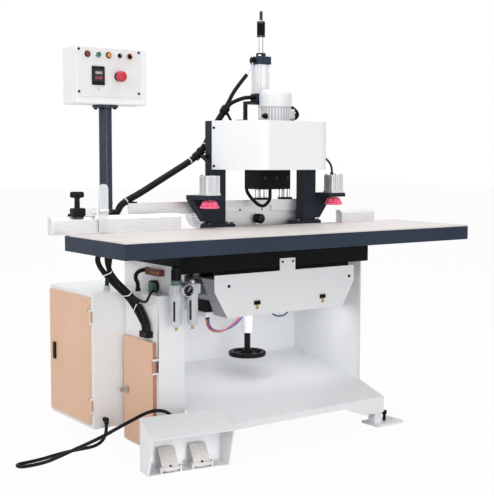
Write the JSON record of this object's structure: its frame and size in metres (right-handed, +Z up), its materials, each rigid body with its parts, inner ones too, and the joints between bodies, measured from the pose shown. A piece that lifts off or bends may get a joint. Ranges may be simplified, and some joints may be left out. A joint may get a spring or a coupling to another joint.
{
  "type": "door lock mortiser",
  "caption": "Floor-standing door lock mortiser: work table, gantry drilling head with clamps, horizontal mortising spindle, electric cabinet, control box and foot pedal",
  "frame": {"origin": "on the floor, under the middle of the machine's bounding box without its loose cords", "axes": "+X along the table to the operator's right, +Y from the operator to the back, +Z up"},
  "size_m": [1.7975, 0.982, 1.7203],
  "materials": {
    "white_paint": "smooth white enamel",
    "slate_paint": "dark blue-grey enamel",
    "black_paint": "satin black enamel",
    "peach_paint": "smooth peach enamel",
    "plate_grey": "matt wear plate",
    "bare_aluminium": "fine milled",
    "bare_steel": "ground",
    "black_plastic": "moulded",
    "red_plastic": "moulded",
    "green_plastic": "moulded",
    "amber_plastic": "moulded",
    "cream_plastic": "moulded",
    "cord_rubber": "matt sheath",
    "tube_plastic": "soft tube",
    "bowl_plastic": "smoky bowl and grey body"
  },
  "bodies": {
    "machine": {"work_table": "slate_paint", "table_plates": "plate_grey", "subframe_beams": "black_paint", "base_left_post": "white_paint", "base_panels": "white_paint", "foot_plates": "white_paint", "cabinet_shell": "white_paint", "control_gear": "black_plastic", "gantry_frame": "slate_paint", "guide_rails": "bare_steel", "hood": "white_paint", "cylinder_caps": "slate_paint", "air_cylinders": "bare_aluminium", "clamp_arms": "slate_paint", "fence_rails": "bare_aluminium", "lift_bed": "white_paint", "under_cover": "white_paint", "control_post": "slate_paint", "control_box": "white_paint", "control_panel": "white_paint", "air_service_unit": "bowl_plastic", "pedal_guard": "white_paint", "black_screws": "black_paint", "cable_glands": "black_plastic", "pedal_cable": "cord_rubber", "hoses": "cord_rubber", "air_tubes": "tube_plastic"},
    "drill_head": {"drill_carriage": "black_paint", "head_motor": "white_paint", "drill_block": "black_paint", "piston_rod": "bare_steel", "head_hoses": "cord_rubber"},
    "drill_left": {"drill_spindle_left": "bare_steel"},
    "drill_right": {"drill_spindle_right": "bare_steel"},
    "clamp_left": {"clamp_pad_left": "red_plastic"},
    "clamp_right": {"clamp_pad_right": "red_plastic"},
    "lift": {"lift_plate": "bare_steel"},
    "handwheel": {"handwheel": "black_plastic"},
    "cross": {"cross_slide": "bare_steel", "spindle_shield": "bare_aluminium"},
    "plunge": {"plunge_saddle": "bare_aluminium", "mortise_motor": "white_paint"},
    "mortiser": {"mortise_spindle": "black_paint"},
    "cabinet_door": {"cabinet_door": "peach_paint"},
    "cabinet_latch": {"cabinet_latch": "black_plastic"},
    "side_door": {"side_door": "peach_paint"},
    "side_lock": {"side_door_lock": "bare_steel"},
    "stop_block": {"stop_block": "black_plastic"},
    "stop_knob": {"stop_knob": "black_plastic"},
    "flip_stop": {"flip_stop": "white_paint"},
    "start_button": {"start_button": "green_plastic"},
    "cycle_button": {"cycle_button": "amber_plastic"},
    "clamp_selector": {"clamp_selector": "black_plastic"},
    "mode_selector": {"mode_selector": "black_plastic"},
    "estop": {"estop_button": "red_plastic"},
    "regulator": {"regulator_knob": "black_plastic"},
    "pedal_left": {"pedal_left": "cream_plastic"},
    "pedal_right": {"pedal_right": "cream_plastic"}
  },
  "joints": [
    {"name": "drill_feed", "type": "slide", "parent": "machine", "child": "drill_head", "axis": [0, 0, 1], "range_m": [-0.064, 0]},
    {"name": "drill_left_spin", "type": "hinge", "parent": "drill_head", "child": "drill_left", "pos_m": [0.066, -0.094, 0.98], "axis": [0, 0, 1], "continuous": true},
    {"name": "drill_right_spin", "type": "hinge", "parent": "drill_head", "child": "drill_right", "pos_m": [0.186, -0.094, 0.98], "axis": [0, 0, 1], "continuous": true},
    {"name": "clamp_left_press", "type": "slide", "parent": "machine", "child": "clamp_left", "axis": [0, 0, -1], "range_m": [0, 0.045], "stiffness_N_per_m": 150, "springref_m": -0.08},
    {"name": "clamp_right_press", "type": "slide", "parent": "machine", "child": "clamp_right", "axis": [0, 0, -1], "range_m": [0, 0.045], "stiffness_N_per_m": 150, "springref_m": -0.08},
    {"name": "mortise_lift", "type": "slide", "parent": "machine", "child": "lift", "axis": [0, 0, 1], "range_m": [0, 0.03]},
    {"name": "handwheel_turn", "type": "hinge", "parent": "machine", "child": "handwheel", "pos_m": [0.126, 0.083, 0.296], "axis": [0, 0, 1], "range_deg": [0, 2160]},
    {"name": "mortise_traverse", "type": "slide", "parent": "lift", "child": "cross", "axis": [1, 0, 0], "range_m": [-0.045, 0.045]},
    {"name": "mortise_plunge", "type": "slide", "parent": "cross", "child": "plunge", "axis": [0, -1, 0], "range_m": [0, 0.1]},
    {"name": "mortise_spin", "type": "hinge", "parent": "plunge", "child": "mortiser", "pos_m": [0.126, 0.069, 0.875], "axis": [0, 1, 0], "continuous": true},
    {"name": "cabinet_door_swing", "type": "hinge", "parent": "machine", "child": "cabinet_door", "pos_m": [-0.6, 0.119, 0.335], "axis": [0, 0, 1], "range_deg": [0, 110]},
    {"name": "cabinet_latch_turn", "type": "hinge", "parent": "cabinet_door", "child": "cabinet_latch", "pos_m": [-0.596, 0.426, 0.335], "axis": [1, 0, 0], "range_deg": [0, 90]},
    {"name": "side_door_swing", "type": "hinge", "parent": "machine", "child": "side_door", "pos_m": [-0.468, -0.14, 0.227], "axis": [0, 0, 1], "range_deg": [0, 90]},
    {"name": "side_lock_turn", "type": "hinge", "parent": "side_door", "child": "side_lock", "pos_m": [-0.46, 0.062, 0.222], "axis": [1, 0, 0], "range_deg": [0, 90]},
    {"name": "stop_travel", "type": "slide", "parent": "machine", "child": "stop_block", "axis": [1, 0, 0], "range_m": [-0.05, 0.3]},
    {"name": "stop_knob_turn", "type": "hinge", "parent": "stop_block", "child": "stop_knob", "pos_m": [-0.742, -0.07, 0.96], "axis": [0, 0, 1], "range_deg": [-360, 360]},
    {"name": "flip_stop_turn", "type": "hinge", "parent": "stop_block", "child": "flip_stop", "pos_m": [-0.65, -0.0974, 0.932], "axis": [1, 0, 0], "range_deg": [-90, 0]},
    {"name": "start_push", "type": "slide", "parent": "machine", "child": "start_button", "axis": [0, 1, 0], "range_m": [0, 0.004], "stiffness_N_per_m": 400, "springref_m": -0.004},
    {"name": "cycle_push", "type": "slide", "parent": "machine", "child": "cycle_button", "axis": [0, 1, 0], "range_m": [0, 0.004], "stiffness_N_per_m": 400, "springref_m": -0.004},
    {"name": "clamp_select", "type": "hinge", "parent": "machine", "child": "clamp_selector", "pos_m": [-0.553, -0.042, 1.497], "axis": [0, 1, 0], "range_deg": [-45, 45]},
    {"name": "mode_select", "type": "hinge", "parent": "machine", "child": "mode_selector", "pos_m": [-0.51, -0.042, 1.497], "axis": [0, 1, 0], "range_deg": [-45, 45]},
    {"name": "estop_push", "type": "slide", "parent": "machine", "child": "estop", "axis": [0, 1, 0], "range_m": [0, 0.006], "stiffness_N_per_m": 600, "springref_m": -0.004},
    {"name": "regulator_turn", "type": "hinge", "parent": "machine", "child": "regulator", "pos_m": [-0.416, -0.216, 0.7], "axis": [0, 0, 1], "range_deg": [-180, 180]},
    {"name": "pedal_left_press", "type": "hinge", "parent": "machine", "child": "pedal_left", "pos_m": [-0.52141, -0.34336, 0.017], "axis": [-0.9882, 0.153, 0], "range_deg": [0, 10], "stiffness_Nm_per_rad": 6, "springref_deg": -11.46},
    {"name": "pedal_right_press", "type": "hinge", "parent": "machine", "child": "pedal_right", "pos_m": [-0.39887, -0.36233, 0.017], "axis": [-0.9882, 0.153, 0], "range_deg": [0, 10], "stiffness_Nm_per_rad": 6, "springref_deg": -11.46}
  ],
  "couplings": [
    {"joint": "handwheel_turn", "follows": "mortise_lift", "rad_per_m": 1256.6},
    {"joint": "drill_right_spin", "follows": "drill_left_spin", "ratio": -1}
  ]
}
